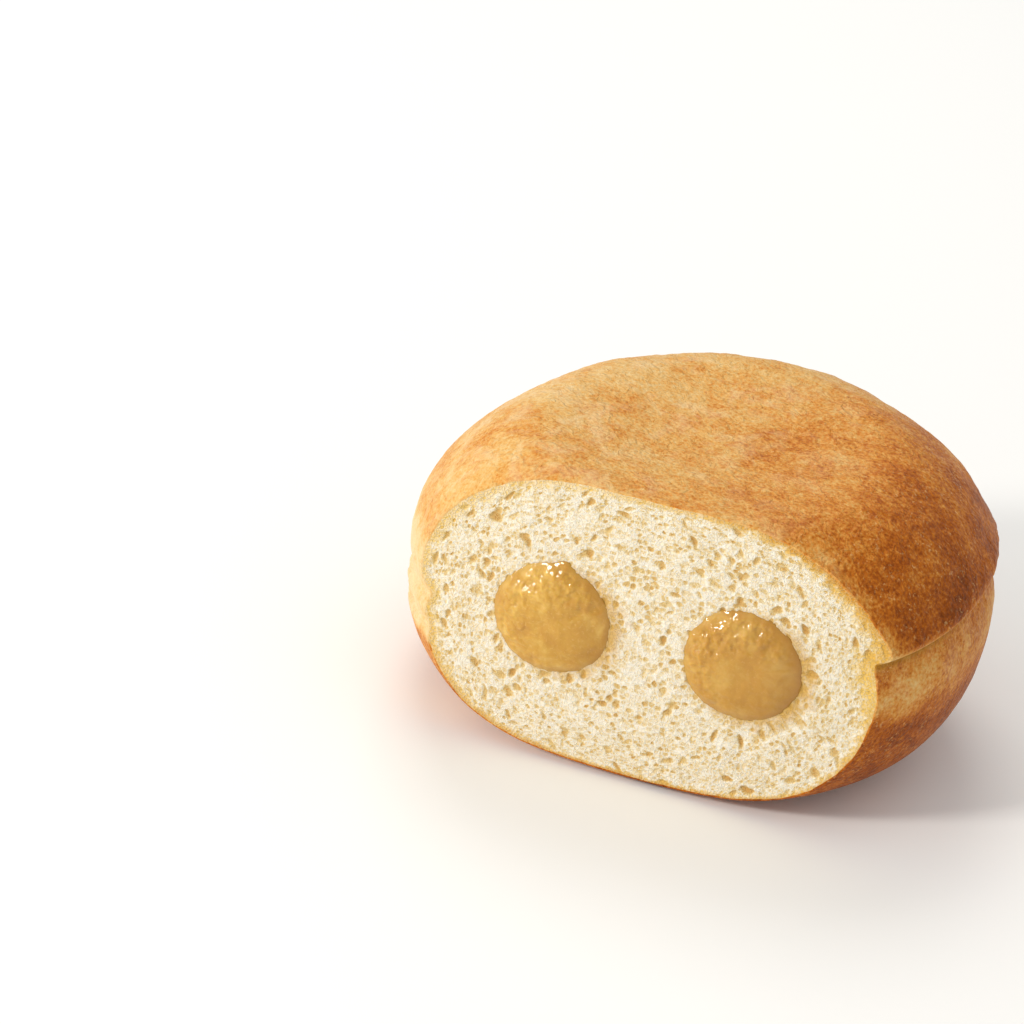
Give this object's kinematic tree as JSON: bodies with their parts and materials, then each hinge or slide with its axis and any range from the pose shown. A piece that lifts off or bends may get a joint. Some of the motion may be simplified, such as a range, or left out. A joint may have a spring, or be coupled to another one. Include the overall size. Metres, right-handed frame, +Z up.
{
  "type": "beignet",
  "caption": "Round filled beignet with a slice cut off its front: golden fried shells, a pale waist, open crumb, and fruit filling in pockets at the cut.",
  "frame": {"origin": "under the middle of the bounding box, at the level the beignet rests on", "axes": "+X along the cut to the right as seen from the front, the cut face looks along -Y, +Z up"},
  "size_m": [0.0935, 0.0749, 0.0507],
  "materials": {
    "fried_dough": "fried golden brown crust with a pale waist, over a cream open crumb",
    "fruit_compote": "wet, translucent tan fruit compote"
  },
  "bodies": {
    "root": {"dough": "fried_dough", "filling_left": "fruit_compote", "filling_right": "fruit_compote"}
  },
  "joints": []
}
